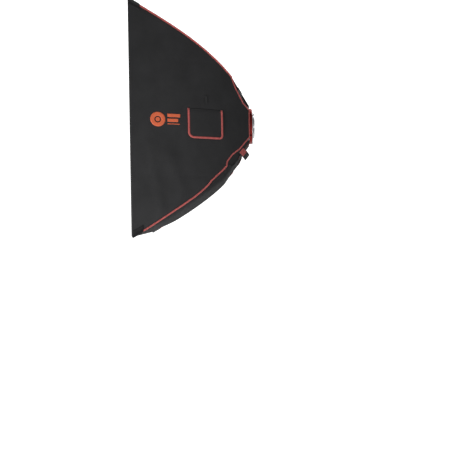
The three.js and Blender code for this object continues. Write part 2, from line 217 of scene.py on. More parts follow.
def settle(piece):
    """Makes the modifiers' result the mesh."""
    graph = bpy.context.evaluated_depsgraph_get()
    mesh = bpy.data.meshes.new_from_object(piece.evaluated_get(graph))
    piece.modifiers.clear()
    piece.data = mesh


def frames_along(points, up):
    """Tangent, side and up for each point of a path."""
    out = []
    for i, _ in enumerate(points):
        ahead = points[min(i + 1, len(points) - 1)] - points[max(i - 1, 0)]
        tangent = ahead.normalized()
        hint = up[i] if isinstance(up, list) else up
        side = tangent.cross(hint).normalized()
        out.append((tangent, side, side.cross(tangent).normalized()))
    return out


def sweep(name, points, width, height, materials, body, up, sides=12, power=1.0):
    """A strip or cord with a rounded section, height along up. A power under 1 squares it."""
    verts, uvs = [], []
    run = 0.0
    frames = frames_along(points, up)
    for i, (_, side, rise) in enumerate(frames):
        if i:
            run += (points[i] - points[i - 1]).length
        for k in range(sides):
            angle = 2 * math.pi * k / sides
            c, s = math.cos(angle), math.sin(angle)
            a = math.copysign(abs(c) ** power, c) * width / 2
            b = math.copysign(abs(s) ** power, s) * height / 2
            verts.append(points[i] + side * a + rise * b)
            uvs.append((k / sides * (width + height), run))
    count = len(points)
    faces = []
    for i in range(count - 1):
        for k in range(sides):
            n = (k + 1) % sides
            faces.append((i * sides + k, i * sides + n, (i + 1) * sides + n, (i + 1) * sides + k))
    faces.append(tuple(range(sides))[::-1])
    faces.append(tuple((count - 1) * sides + k for k in range(sides)))
    return new_piece(name, verts, faces, materials, body, uvs)


def lathe_part(profile, segments=96, centre=(0, 0, 0)):
    """Verts and faces of a closed [x, radius] profile turned round X."""
    verts, faces = [], []
    count = len(profile)
    for i in range(segments):
        angle = 2 * math.pi * i / segments
        for x, r in profile:
            verts.append(Vector(centre) + Vector((x, r * math.cos(angle), r * math.sin(angle))))
    for i in range(segments):
        j = (i + 1) % segments
        for k in range(count):
            n = (k + 1) % count
            faces.append((i * count + k, i * count + n, j * count + n, j * count + k))
    return verts, faces


def rod_part(start, end, radius, segments=24, edge=0.0004):
    """Verts and faces of a round bar with softened ends."""
    axis = (end - start).normalized()
    side = axis.orthogonal().normalized()
    other = axis.cross(side)
    length = (end - start).length
    rings = [(0, radius - edge), (edge, radius), (length - edge, radius), (length, radius - edge)]
    verts = [start]
    for along, r in rings:
        for k in range(segments):
            angle = 2 * math.pi * k / segments
            verts.append(start + axis * along + (side * math.cos(angle) + other * math.sin(angle)) * r)
    verts.append(end)
    faces = []
    for k in range(segments):
        n = (k + 1) % segments
        faces.append((0, 1 + n, 1 + k))
        for ring in range(3):
            a, b = 1 + ring * segments, 1 + (ring + 1) * segments
            faces.append((a + k, a + n, b + n, b + k))
        faces.append((1 + 3 * segments + k, 1 + 3 * segments + n, len(verts) - 1))
    return verts, faces


def combine(parts):
    """Several (verts, faces) as one."""
    verts, faces = [], []
    for part_verts, part_faces in parts:
        base = len(verts)
        verts += part_verts
        faces += [tuple(base + i for i in face) for face in part_faces]
    return verts, faces


def soften(piece, width, segments=2):
    """Rounds the sharp edges."""
    bevel = piece.modifiers.new("edges", "BEVEL")
    bevel.width = width
    bevel.segments = segments
    bevel.limit_method = "ANGLE"
    bevel.angle_limit = math.radians(35)
    bevel.harden_normals = False


# ---------------------------------------------------------------- materials


class Look:
    """A Principled material and the few nodes its pattern needs."""

    def __init__(self, name, color, roughness, metallic=0.0, specular=0.5):
        self.material = bpy.data.materials.new(name)
        self.material.use_nodes = True
        self.tree = self.material.node_tree
        self.shader = self.tree.nodes["Principled BSDF"]
        self.shader.inputs["Base Color"].default_value = (*color, 1)
        self.shader.inputs["Roughness"].default_value = roughness
        self.shader.inputs["Metallic"].default_value = metallic
        self.shader.inputs["Specular IOR Level"].default_value = specular

    def node(self, kind, **values):
        made = self.tree.nodes.new(kind)
        for key, value in values.items():
            if hasattr(made, key):
                setattr(made, key, value)
            else:
                made.inputs[key.replace("_", " ")].default_value = value
        return made

    def link(self, source, target):
        self.tree.links.new(source, target)

    def math(self, operation, a, b=None):
        made = self.node("ShaderNodeMath", operation=operation)
        for socket, value in zip(made.inputs, (a, b)):
            if value is None:
                continue
            if isinstance(value, (int, float)):
                socket.default_value = value
            else:
                self.link(value, socket)
        return made.outputs[0]

    def cloth_place(self):
        """The U and V of the cloth, in metres."""
        uv = self.node("ShaderNodeUVMap", uv_map="cloth")
        split = self.node("ShaderNodeSeparateXYZ")
        self.link(uv.outputs[0], split.inputs[0])
        return uv.outputs[0], split.outputs[0], split.outputs[1]

    def object_place(self):
        return self.node("ShaderNodeTexCoord").outputs["Object"]

    def noise(self, place, scale, detail=3.0, roughness=0.55):
        made = self.node("ShaderNodeTexNoise", Scale=scale, Detail=detail, Roughness=roughness)
        self.link(place, made.inputs["Vector"])
        return made.outputs["Fac"]

    def spread(self, value, low, high, to_low, to_high):
        made = self.node("ShaderNodeMapRange")
        made.clamp = True
        self.link(value, made.inputs["Value"])
        for socket, number in zip(list(made.inputs)[1:5], (low, high, to_low, to_high)):
            socket.default_value = number
        return made.outputs[0]

    def wave(self, value, pitch):
        return self.math("SINE", self.math("MULTIPLY", value, 2 * math.pi / pitch))

    def tint(self, factor, dark, light):
        """Base colour between two colours by factor."""
        mix = self.node("ShaderNodeMix", data_type="RGBA")
        self.link(factor, mix.inputs["Factor"])
        colour_sockets = [s for s in mix.inputs if s.type == "RGBA"]
        colour_sockets[0].default_value = (*dark, 1)
        colour_sockets[1].default_value = (*light, 1)
        result = [s for s in mix.outputs if s.type == "RGBA"][0]
        self.link(result, self.shader.inputs["Base Color"])

    def bump(self, height, distance, strength=1.0):
        made = self.node("ShaderNodeBump", Strength=strength, Distance=distance)
        self.link(height, made.inputs["Height"])
        self.link(made.outputs[0], self.shader.inputs["Normal"])

    def rough(self, value, low, high):
        self.link(self.spread(value, 0.3, 0.7, low, high), self.shader.inputs["Roughness"])


def scaled(color, factor):
    return tuple(c * factor for c in color)


def woven(name, color, pitch, roughness, sheen=0.0, specular=0.5, metallic=0.0, depth=0.00012, mottle=0.14):
    """Plain-woven cloth: threads over and under at the pitch, slubs, and slow changes of tone."""
    look = Look(name, color, roughness, metallic, specular)
    place, u, v = look.cloth_place()
    threads = look.math("MULTIPLY", look.wave(u, pitch), look.wave(v, pitch))
    slub = look.noise(place, 900, 2)
    fine = look.math("ADD", look.math("MULTIPLY", threads, 0.5), slub)
    look.bump(fine, depth, 0.8)
    slow = look.noise(place, 9, 4)
    grain = look.noise(place, 260, 3)
    tone = look.math("ADD", look.math("MULTIPLY", slow, 0.65), look.math("MULTIPLY", grain, 0.35))
    factor = look.spread(tone, 0.35, 0.65, 0.0, 1.0)
    look.tint(factor, scaled(color, 1 - mottle), scaled(color, 1 + mottle))
    look.rough(tone, roughness - 0.06, roughness + 0.06)
    look.shader.inputs["Sheen Weight"].default_value = sheen
    look.shader.inputs["Sheen Roughness"].default_value = 0.5
    return look.material


def ribbed(name, color, pitch, roughness, sheen=0.0, specular=0.4, depth=0.00025):
    """Webbing or binding tape: ribs across its length with threads along it."""
    look = Look(name, color, roughness, 0.0, specular)
    place, u, v = look.cloth_place()
    ribs = look.wave(v, pitch)
    threads = look.wave(u, pitch * 0.6)
    height = look.math("ADD", look.math("MULTIPLY", ribs, 0.6), look.math("MULTIPLY", threads, 0.3))
    height = look.math("ADD", height, look.noise(place, 1200, 2))
    look.bump(height, depth, 0.8)
    tone = look.noise(place, 70, 4)
    factor = look.spread(tone, 0.3, 0.7, 0.0, 1.0)
    look.tint(factor, scaled(color, 0.8), scaled(color, 1.18))
    look.shader.inputs["Sheen Weight"].default_value = sheen
    return look.material


def fuzzy(name, color, scale=2200):
    """Hook or loop tape: a dense nap."""
    look = Look(name, color, 0.95, 0.0, 0.2)
    place = look.object_place()
    nap = look.noise(place, scale, 4, 0.7)
    look.bump(nap, 0.0006, 1.0)
    look.tint(look.spread(nap, 0.35, 0.65, 0, 1), scaled(color, 0.6), scaled(color, 1.5))
    look.shader.inputs["Sheen Weight"].default_value = 0.3
    return look.material


def machined(name, color, roughness, metallic=1.0, grain=900, wear=0.12):
    """Metal with fine tool marks, faint smears and slightly duller patches."""
    look = Look(name, color, roughness, metallic)
    place = look.object_place()
    stretch = look.node("ShaderNodeMapping")
    stretch.inputs["Scale"].default_value = (1.0, 0.12, 0.12)
    look.link(place, stretch.inputs["Vector"])
    marks = look.noise(stretch.outputs[0], grain, 3)
    look.bump(marks, 0.00004, 0.5)
    smear = look.noise(place, 45, 4)
    factor = look.spread(smear, 0.35, 0.7, 0, 1)
    look.tint(factor, scaled(color, 1 - wear), scaled(color, 1 + wear * 0.5))
    look.rough(smear, roughness - 0.07, roughness + 0.1)
    return look.material


def moulded(name, color, roughness):
    """Plastic with a fine spark-eroded grain."""
    look = Look(name, color, roughness, 0.0, 0.45)
    place = look.object_place()
    grain = look.noise(place, 1800, 2)
    look.bump(grain, 0.00008, 0.7)
    tone = look.noise(place, 60, 3)
    look.tint(look.spread(tone, 0.3, 0.7, 0, 1), scaled(color, 0.85), scaled(color, 1.2))
    look.rough(tone, roughness - 0.06, roughness + 0.08)
    return look.material


def make_materials():
    return {
        "black": woven("black_nylon", (0.031, 0.031, 0.032), 0.0009, 0.88, specular=0.05),
        "silver": woven("silver_lining", (0.62, 0.63, 0.65), 0.0012, 0.38, metallic=0.75, depth=0.0002),
        "trim": ribbed("red_trim", (0.46, 0.095, 0.088), 0.0014, 0.7, sheen=0.08, specular=0.2),
        # A darker copy of the red trim: painted shade for the bindings on the far, top and bottom flaps.
        "shaded_trim": ribbed("red_binding_painted_shade", (0.13, 0.03, 0.028), 0.0014, 0.75, specular=0.2),
        "web": ribbed("black_webbing", (0.012, 0.012, 0.013), 0.0018, 0.66, specular=0.35),
        "patch": woven("coated_patch", (0.008, 0.008, 0.0085), 0.0012, 0.5, specular=0.2, depth=0.0002),
        "nap": fuzzy("loop_pile", (0.016, 0.016, 0.017)),
        "white": woven("diffusion_cloth", (0.84, 0.84, 0.82), 0.0007, 0.85, mottle=0.02, depth=0.00008),
        "elastic": ribbed("elastic", (0.02, 0.02, 0.021), 0.0022, 0.7),
        "print": woven("orange_print", (0.62, 0.11, 0.035), 0.0009, 0.55, mottle=0.08),
        "thread": moulded("black_thread", (0.03, 0.03, 0.03), 0.6),
        "anodised": machined("red_anodised", (0.16, 0.016, 0.014), 0.36, wear=0.2),
        "zinc": machined("zinc_steel", (0.42, 0.42, 0.43), 0.34),
        "steel": machined("spring_steel", (0.20, 0.20, 0.205), 0.33, grain=1500),
        "plastic": moulded("black_plastic", (0.018, 0.018, 0.019), 0.45),
    }


# ---------------------------------------------------------------- the bowed shape


def bow_curve():
    """The bow of a sprung rod: x and how far out it is, 0 at the ring and 1 at the rim."""
    left = 1 - (np.arange(BOW_STEPS) + 0.5) / BOW_STEPS
    slope = np.radians(BOW_FRONT_DEG + (BOW_REAR_DEG - BOW_FRONT_DEG) * left * left)
    x = np.concatenate([[0], np.cumsum(np.cos(slope))])
    r = np.concatenate([[0], np.cumsum(np.sin(slope))])
    return REAR_X + (FRONT_X - REAR_X) * x / x[-1], r / r[-1]


BOW_X, BOW_T = bow_curve()


def spread(x):
    return float(np.interp(-x, -BOW_X, BOW_T))


def side_y(x):
    return REAR_HALF + (HALF_WIDTH - REAR_HALF) * spread(x)


def top_z(x):
    return REAR_HALF + (HALF_HEIGHT - REAR_HALF) * spread(x)


def slope_of(out, x):
    x = min(max(x, FRONT_X + 0.003), REAR_X - 0.003)
    return (out(x + 0.002) - out(x - 0.002)) / 0.004


# Each side: which way is out, which way is across, and the half sizes along the two.
SIDES = {
    "near": (Vector((0, -1, 0)), Vector((0, 0, 1)), side_y, top_z),
    "far": (Vector((0, 1, 0)), Vector((0, 0, 1)), side_y, top_z),
    "top": (Vector((0, 0, 1)), Vector((0, 1, 0)), top_z, side_y),
    "bottom": (Vector((0, 0, -1)), Vector((0, 1, 0)), top_z, side_y),
}

# The rear flaps' edges beyond the corner slits: x and half width.
TALL_FLAP = [(SLIT_X, 0.174), (-0.070, 0.140), (TAB_X, 0.112), (-0.038, 0.081), (REAR_X, 0.057)]
TALL_FLAP_UNDONE = [(LOW_SLIT_X, 0.166), (-0.087, 0.137), (TAB_X, 0.110), (REAR_X, 0.057)]
WIDE_FLAP = [(SLIT_X, 0.134), (REAR_X, 0.060)]
FLAP_EDGES = {
    ("near", 1): TALL_FLAP,
    ("near", -1): TALL_FLAP_UNDONE,
    ("far", 1): TALL_FLAP,
    ("far", -1): TALL_FLAP,
    ("top", 1): WIDE_FLAP,
    ("top", -1): WIDE_FLAP,
    ("bottom", 1): WIDE_FLAP,
    ("bottom", -1): WIDE_FLAP,
}

# The near lower seam is slack because its tab is undone: x and how far the seam has ridden up.
SLACK = [
    (-0.478, 0.0), (-0.300, 0.0), (-0.240, 0.002), (-0.204, 0.007), (-0.186, 0.011),
    (-0.172, 0.019), (-0.141, 0.022), (-0.120, 0.023), (LOW_SLIT_X, 0.026), (0.0, 0.026),
]


# Where the wide flaps leave the bow on their way to the ring, and how much of it they cut off.
TUCKED = {"top": (SLIT_X, 0.6), "bottom": (-0.064, 1.25)}


def slack(x):
    return float(np.interp(x, [p[0] for p in SLACK], [p[1] for p in SLACK]))


def smooth(value, low, high):
    t = min(max((value - low) / (high - low), 0.0), 1.0)
    return t * t * (3 - 2 * t)


def droop(p):
    """The near lower front corner hangs a little."""
    low = smooth(-p.z, 0.15, HALF_HEIGHT)
    near = min(max((HALF_WIDTH - p.y) / (2 * HALF_WIDTH), 0.0), 1.0)
    front = smooth(-p.x, 0.24, -FRONT_X)
    return p + Vector((0, 0, -HANG)) * low * near * front


def seam_half(name, sign, x):
    """Half width of a side at a seam or a flap's edge."""
    across = SIDES[name][3]
    flap = FLAP_EDGES[(name, sign)]
    start = flap[0][0]
    lifted = slack(x) if (name, sign) == ("near", -1) else 0.0
    if x <= start - 0.003:
        return across(x) - lifted
    xs = [start - 0.003] + [p[0] for p in flap]
    halves = [across(start - 0.003) - lifted] + [p[1] for p in flap]
    return float(np.interp(x, xs, halves))


def relief(name, x, a):
    """How far the cloth stands off its taut shape: slow unevenness, packing creases and pulls."""
    seed = {"near": 0.0, "far": 7.3, "top": 14.1, "bottom": 21.7}[name]
    out = 0.0016 * noise.noise(Vector((x * 7 + seed, a * 5, seed)))
    out += 0.0007 * noise.noise(Vector((x * 22 + seed, a * 14, seed + 3)))
    for crease in (-0.23, 0.228) if name in ("near", "far") else (-0.1, 0.12):
        wander = 0.003 * noise.noise(Vector((x * 9, crease * 40, seed)))
        out -= 0.0011 * math.exp(-(((a - crease + wander) / 0.0035) ** 2)) * smooth(-x, 0.12, 0.2)
    fold = x + 0.385 + 0.18 * (a + 0.25)
    if name == "near":
        out += 0.0035 * math.exp(-((fold / 0.022) ** 2)) * smooth(-a, 0.05, 0.3)
        second = x + 0.30 + 0.35 * (a + 0.25)
        out += 0.0028 * math.exp(-((second / 0.026) ** 2)) * smooth(-a, 0.02, 0.22)
    return out


def pucker(x, a, plus, minus, phase):
    """Small gathers along the sewn edges."""
    edge = min(plus - a, a + minus)
    if edge > 0.03:
        return 0.0
    return 0.0005 * math.sin(x * 2 * math.pi / 0.017 + phase) * math.exp(-((edge / 0.010) ** 2))


def tuck(name, x):
    """The top and bottom flaps run almost straight from the slits to the ring, inside the bow."""
    if name not in TUCKED:
        return 0.0
    start, share = TUCKED[name]
    part = max((x - start) / (REAR_X - start), 0.0)
    chord = top_z(start) + (REAR_HALF - top_z(start)) * part
    return share * max(top_z(x) - chord, 0.0) if part else 0.0


def belly(name, x, a, plus, minus):
    """The wide panels swell a little between their seams, and the bottom one hangs fuller."""
    across = (2 * a - plus + minus) / (plus + minus)
    power, full = (8, 0.14) if name == "bottom" else (2, 0.20)
    return SWELL * (1 - abs(across) ** power) * smooth(-x, 0.075, full) * smooth(x, FRONT_X, FRONT_X + 0.13)


def face_point(name, x, a, lift=0.0, plain=False):
    """A point on a side's outer face, raised by lift."""
    out, across, half_out, _ = SIDES[name]
    slope = slope_of(half_out, x)
    scale = 1 / math.sqrt(1 + slope * slope)
    plus, minus = seam_half(name, 1, x), seam_half(name, -1, x)
    if not plain:
        inside = smooth(min(plus - a, a + minus), 0.0, 0.05) * smooth(x, FRONT_X + 0.035, FRONT_X + 0.075)
        lift = lift + relief(name, x, a) * inside + pucker(x, a, plus, minus, a * 3)
    if name in ("top", "bottom"):
        lift = lift + belly(name, x, a, plus, minus) - tuck(name, x)
    p = Vector((x, 0, 0)) + out * half_out(x) + across * a
    p += (out - Vector((1, 0, 0)) * slope) * scale * lift
    if name == "bottom":
        sewn = 1 - smooth(x, LOW_SLIT_X - 0.004, SLIT_X)
        p.z += slack(x) * sewn * math.exp(-(((a + minus) / 0.009) ** 2))
    return droop(p)


def face_normal(name, x):
    out, _, half_out, _ = SIDES[name]
    return (out - Vector((1, 0, 0)) * slope_of(half_out, x)).normalized()


def arc_places(count, start=REAR_X, end=FRONT_X, also=()):
    """x values evenly spaced along the bow, with some exact ones among them."""
    steps = np.hypot(np.diff(BOW_X), np.diff(BOW_T) * 0.43)
    run = np.concatenate([[0], np.cumsum(steps)])
    low, high = np.interp([-start, -end], -BOW_X, run)
    xs = list(np.interp(np.linspace(low, high, count), run, BOW_X))
    for x in also:
        nearest = min(range(1, len(xs) - 1), key=lambda i: abs(xs[i] - x))
        xs[nearest] = x
    return sorted(xs, reverse=True)


def arc_length(out, x):
    """Length of cloth from the rear edge to x, along a side's profile."""
    xs = np.linspace(REAR_X, x, 60)
    outs = [out(value) for value in xs]
    return float(np.sum(np.hypot(np.diff(xs), np.diff(outs))))


# ---------------------------------------------------------------- cloth


def edge_biased(count):
    """0 to 1 with the steps closer together at both ends."""
    t = np.linspace(0, 1, count)
    return t - 0.075 * np.sin(2 * math.pi * t)


def panel_area(name, places):
    """Area of a side's cloth from its (x, points across), less the hand opening."""
    area = 0.0
    for (x, halves), (next_x, next_halves) in zip(places, places[1:]):
        width = abs(halves[-1] - halves[0] + next_halves[-1] - next_halves[0]) / 2
        area += width * abs(arc_length(SIDES[name][2], next_x) - arc_length(SIDES[name][2], x))
    if name == "near":
        hole = arc_length(side_y, HAND_X[0]) - arc_length(side_y, HAND_X[1])
        area -= hole * (HAND_Z[1] - HAND_Z[0])
    return area


def make_panel(name, looks):
    also = [SLIT_X - 0.003, SLIT_X]
    if name == "near":
        also += [LOW_SLIT_X - 0.003, LOW_SLIT_X, *HAND_X]
    xs = arc_places(150, also=also)
    columns = 91
    ts = edge_biased(columns)
    verts, uvs, places = [], [], []
    for x in xs:
        plus, minus = seam_half(name, 1, x), seam_half(name, -1, x)
        halves = [-minus + (plus + minus) * t for t in ts]
        if name == "near":
            low, high = min(-HAND_Z[0], minus * 0.7), min(HAND_Z[1], plus * 0.4)
            stops = [0, *HAND_COLUMNS, columns - 1]
            halves = list(np.interp(np.arange(columns), stops, [-minus, -low, high, plus]))
        length = arc_length(SIDES[name][2], x)
        places.append((x, halves))
        for a in halves:
            verts.append(face_point(name, x, a))
            uvs.append((length, a))

    def opening(i, j):
        inside_x = HAND_X[0] < (xs[i] + xs[i + 1]) / 2 < HAND_X[1]
        return name == "near" and inside_x and HAND_COLUMNS[0] <= j < HAND_COLUMNS[1]

    faces = grid_faces(len(xs), columns, opening)
    if SIDES[name][0].cross(SIDES[name][1]).x > 0:
        faces = [face[::-1] for face in faces]
    piece = new_piece("cloth_" + name, verts, faces, [looks["black"], looks["silver"]], "box", uvs)
    thicken(piece, CLOTH_T, inner=1)
    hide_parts("panel_" + name)
    flat = (2 * SIDES[name][3](FRONT_X), arc_length(SIDES[name][2], FRONT_X))
    area = min(panel_area(name, places), 0.999 * flat[0] * flat[1])


def seam_point(corner, x):
    """A point on a corner seam."""
    sy, sz, _ = CORNERS[corner]
    z = top_z(x) - (slack(x) if corner == "near_bottom" else 0.0)
    return droop(Vector((x, sy * (side_y(x) + 0.0002), sz * (z + 0.0002))))


def make_piping(corner, looks):
    sy, sz, slit = CORNERS[corner]
    xs = arc_places(120, start=slit - 0.001, end=FRONT_X + 0.002)
    if corner == "near_bottom":
        xs = sorted(set(xs + [p[0] for p in SLACK if FRONT_X + 0.004 < p[0] < slit - 0.004]), reverse=True)
    points = [seam_point(corner, x) for x in xs]
    up = Vector((0, sy, sz)).normalized()
    wide = 2 * PIPING_R
    piece = sweep("piping_" + corner, points, wide, wide, [looks["trim"]], "box", up, sides=14)
    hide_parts("corner_piping_" + corner)
    for number, side in enumerate((("near" if sy < 0 else "far"), ("top" if sz > 0 else "bottom"))):
        sign = sz if number == 0 else sy
        line = []
        for x in xs[2:-2]:
            half = seam_half(side, sign, x) - 0.0075
            line.append((face_point(side, x, sign * half, 0.0004), face_normal(side, x)))
        make_stitches("stitches_" + corner + "_" + side, line, looks["thread"], "box", pitch=0.0046)


def make_stitches(name, line, material, body, pitch=0.004, length=0.0028, radius=0.0004):
    """A row of lockstitches along a line of (point, outward normal)."""
    runs = [0.0]
    for (a, _), (b, _) in zip(line, line[1:]):
        runs.append(runs[-1] + (b - a).length)
    parts = []
    count = int(runs[-1] / pitch)
    points = np.array([tuple(p) for p, _ in line])
    normals = np.array([tuple(n) for _, n in line])

    def place(run, table):
        return Vector([float(np.interp(run, runs, table[:, k])) for k in range(3)])

    for i in range(count):
        start = (i + 0.5) * pitch - length / 2
        a, b = place(start, points), place(start + length, points)
        rise = place(start + length / 2, normals).normalized()
        ahead = (b - a).normalized()
        side = ahead.cross(rise).normalized()
        ring = [side, rise, -side, -rise * 0.3]
        verts = [a - rise * radius * 0.5]
        for t in (0.2, 0.8):
            centre = a.lerp(b, t) + rise * radius * 0.4
            verts += [centre + r * radius for r in ring]
        verts.append(b - rise * radius * 0.5)
        faces = [(0, 1 + (k + 1) % 4, 1 + k) for k in range(4)]
        faces += [(1 + k, 1 + (k + 1) % 4, 5 + (k + 1) % 4, 5 + k) for k in range(4)]
        faces += [(5 + k, 5 + (k + 1) % 4, 9) for k in range(4)]
        parts.append((verts, faces))
    verts, faces = combine(parts)
    return new_piece(name, verts, faces, [material], body)


def flap_edge_line(side):
    """The edge of a rear flap as points and normals, from one slit round the rear to the other."""
    line = []
    for sign in (1, -1):
        flap = FLAP_EDGES[(side, sign)]
        step = list(np.linspace(flap[0][0] - 0.003, flap[0][0], 6))
        xs = step + list(np.linspace(flap[0][0], REAR_X, 40))[1:]
        if (side, sign) == ("bottom", -1):
            xs = [x for x in xs if x > TAB_X - 0.007]
        part = []
        for x in xs:
            edge = face_point(side, x, sign * seam_half(side, sign, x), -0.0004, True)
            part.append((edge, face_normal(side, x)))
        line.append(part)
    rear = []
    for t in np.linspace(1, -1, 25)[1:-1]:
        half = seam_half(side, 1 if t > 0 else -1, REAR_X)
        rear.append((face_point(side, REAR_X, t * half, -0.0004, True), face_normal(side, REAR_X)))
    return line[0] + rear + line[1][::-1]


def make_flap_binding(side, looks):
    line = flap_edge_line(side)
    # The near binding has the red trim. The far, top and bottom bindings have its darker copy, painted
    # shade on the same tape.
    look = looks["trim"] if side == "near" else looks["shaded_trim"]
    points = [p for p, _ in line]
    up = [n for _, n in line]
    piece = sweep("binding_" + side, points, 0.0062, 0.0026, [look], "box", up, power=0.7)
    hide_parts("rear_binding_" + side)


def make_gusset(corner, looks):
    """The black cloth inside a slit. At the undone corner it billows out flush with the bottom flap."""
    sy, sz, slit = CORNERS[corner]
    tall, wide = ("near" if sy < 0 else "far"), ("top" if sz > 0 else "bottom")
    under, depth = 0.009, -0.0034
    flush, fullness = (-0.0002, 0.7) if corner == "near_bottom" else (depth, 0.4)
    columns = 15
    xs = np.linspace(slit - 0.012, REAR_X - 0.002, 40)
    verts, uvs = [], []
    for x in xs:
        first = face_point(tall, x, sz * (seam_half(tall, sz, x) - under), depth, True)
        last = face_point(wide, x, sy * (seam_half(wide, sy, x) - under), flush, True)
        outer = Vector((x, sy * side_y(x), sz * (top_z(x) - tuck(wide, x))))
        middle = ((first + last) / 2).lerp(outer, fullness)
        for j in range(columns):
            t = j / (columns - 1)
            verts.append(first * (1 - t) ** 2 + middle * 2 * t * (1 - t) + last * t * t)
            uvs.append((t * 0.08, x))
    faces = grid_faces(len(xs), columns)
    if sy * sz > 0:
        faces = [face[::-1] for face in faces]
    piece = new_piece("slit_gusset_" + corner, verts, faces, [looks["black"]], "box", uvs)
    thicken(piece, 0.0006)


def make_pocket(corner, looks):
    """The stiffened patch that wraps a front corner and holds a rod's tip."""
    sy, sz, _ = CORNERS[corner]
    rows = 24
    columns = 31
    reach = 0.019 if sz > 0 else 0.023
    verts, uvs = [], []
    for i in range(rows):
        x = FRONT_X + 0.0005 + 0.041 * i / (rows - 1)
        end = smooth(i, 0, 2) * smooth(rows - 1 - i, 0, 2)
        y, z = side_y(x), top_z(x)
        for j in range(columns):
            t = 2 * j / (columns - 1) - 1
            turn = math.exp(-((t / 0.24) ** 2))
            lift = 0.0009 + 0.0042 * turn + 0.0007 * end
            lift *= 0.35 + 0.65 * smooth(1 - abs(t), 0, 0.08)
            along = abs(t) * reach
            if t < 0:
                p = Vector((x, sy * (y + lift), sz * (z + 0.0032 * turn - along * (1 - 0.3 * turn))))
            else:
                p = Vector((x, sy * (y + 0.0032 * turn - along * (1 - 0.3 * turn)), sz * (z + lift)))
            verts.append(droop(p))
            uvs.append((t * reach, x))
    faces = grid_faces(rows, columns)
    if sy * sz < 0:
        faces = [face[::-1] for face in faces]
    piece = new_piece("patch_" + corner, verts, faces, [looks["patch"]], "box", uvs)
    thicken(piece, 0.0014)
    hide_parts("corner_pocket_" + corner)


def rim_path(half_y, half_z, x, radius):
    """A rounded rectangle across the axis, closed back to its start."""
    points = []
    count = 10
    corners = [(1, 1, 0), (-1, 1, 90), (-1, -1, 180), (1, -1, 270)]
    for sy, sz, start in corners:
        cy, cz = sy * (half_y - radius), sz * (half_z - radius)
        for k in range(count):
            angle = math.radians(start + 90 * k / (count - 1))
            points.append(Vector((x, cy + radius * math.cos(angle), cz + radius * math.sin(angle))))
    full = []
    for a, b in zip(points, points[1:] + points[:1]):
        steps = max(1, int((b - a).length / 0.02))
        full += [a.lerp(b, k / steps) for k in range(steps)]
    return full + [full[0]]


def make_rim(looks):
    path = [droop(p) for p in rim_path(HALF_WIDTH - 0.0016, HALF_HEIGHT - 0.0016, FRONT_X - 0.0006, 0.004)]
    forwards = Vector((-1, 0, 0))
    piece = sweep("rim_tape", path, 0.0036, 0.0075, [looks["web"]], "box", forwards, power=0.75)
    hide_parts("rim_binding")


def inner_band(name, x0, x1, inset, thickness, look, body, skip_corners, root=0.0):
    """A band round the inside of the lip. Its first edge can turn in by root to meet a flat hem."""
    rows = 8
    verts, uvs, faces = [], [], []
    for sy, sz, along_y in ((1, 0, False), (0, 1, True), (-1, 0, False), (0, -1, True)):
        base = len(verts)
        columns = 50
        for i in range(rows):
            x = x0 + (x1 - x0) * i / (rows - 1)
            step_in = inset + (root if i == 0 else 0.0)
            y, z = side_y(x) - step_in, top_z(x) - step_in
            reach = (y if along_y else z) - skip_corners
            for j in range(columns):
                a = reach * (2 * j / (columns - 1) - 1)
                p = Vector((x, a, sz * z)) if along_y else Vector((x, sy * y, a))
                verts.append(droop(p))
                uvs.append((x, a))
        side_faces = [tuple(base + k for k in face) for face in grid_faces(rows, columns)]
        inward = (sz < 0) if along_y else (sy > 0)
        faces += side_faces if inward else [face[::-1] for face in side_faces]
    piece = new_piece(name, verts, faces, [look], body, uvs)
    thicken(piece, thickness)
    return piece


def rounded_half(half, t_other, half_other, radius):
    """Half size along one axis of a rounded rectangle, at a place along the other axis."""
    over = abs(t_other) - (half_other - radius)
    if over <= 0:
        return half
    return half - radius + math.sqrt(max(radius * radius - over * over, 0.0))


def cross_cloth(name, x, half_y, half_z, radius, sag, look, body, seed, rows=70, columns=50):
    """A flat cloth across the axis, a little uneven: drawn in at its corners and slack in the middle."""
    verts, uvs = [], []
    for i in range(rows):
        tz = 2 * i / (rows - 1) - 1
        z = half_z * math.sin(tz * math.pi / 2) if radius > 0.02 else half_z * tz
        wide = rounded_half(half_y, z, half_z, radius)
        for j in range(columns):
            y = wide * (2 * j / (columns - 1) - 1)
            inside = smooth(min(half_y - abs(y), half_z - abs(z)), 0.0, 0.12)
            ripple = 0.0012 * noise.noise(Vector((y * 8 + seed, z * 8, seed)))
            pull = 0.0012 * math.sin(math.atan2(half_z - abs(z), half_y - abs(y)) * 14) * math.exp(
                -(math.hypot(half_z - abs(z), half_y - abs(y)) / 0.09) ** 2
            )
            verts.append(Vector((x + sag * inside + ripple * inside + pull * smooth(inside, 0, 0.3), y, z)))
            uvs.append((y, z))
    piece = new_piece(name, verts, grid_faces(rows, columns), [look], body, uvs)
    thicken(piece, 0.0005, offset=0)
    return piece


def flat_band(name, x, half_y, half_z, radius, width, thickness, look, body):
    """A flat hem round a cloth across the axis."""
    middle = rim_path(half_y - width / 2, half_z - width / 2, x, max(radius - width / 2, 0.004))
    return sweep(name, middle, width, thickness, [look], body, Vector((1, 0, 0)), sides=8, power=0.4)


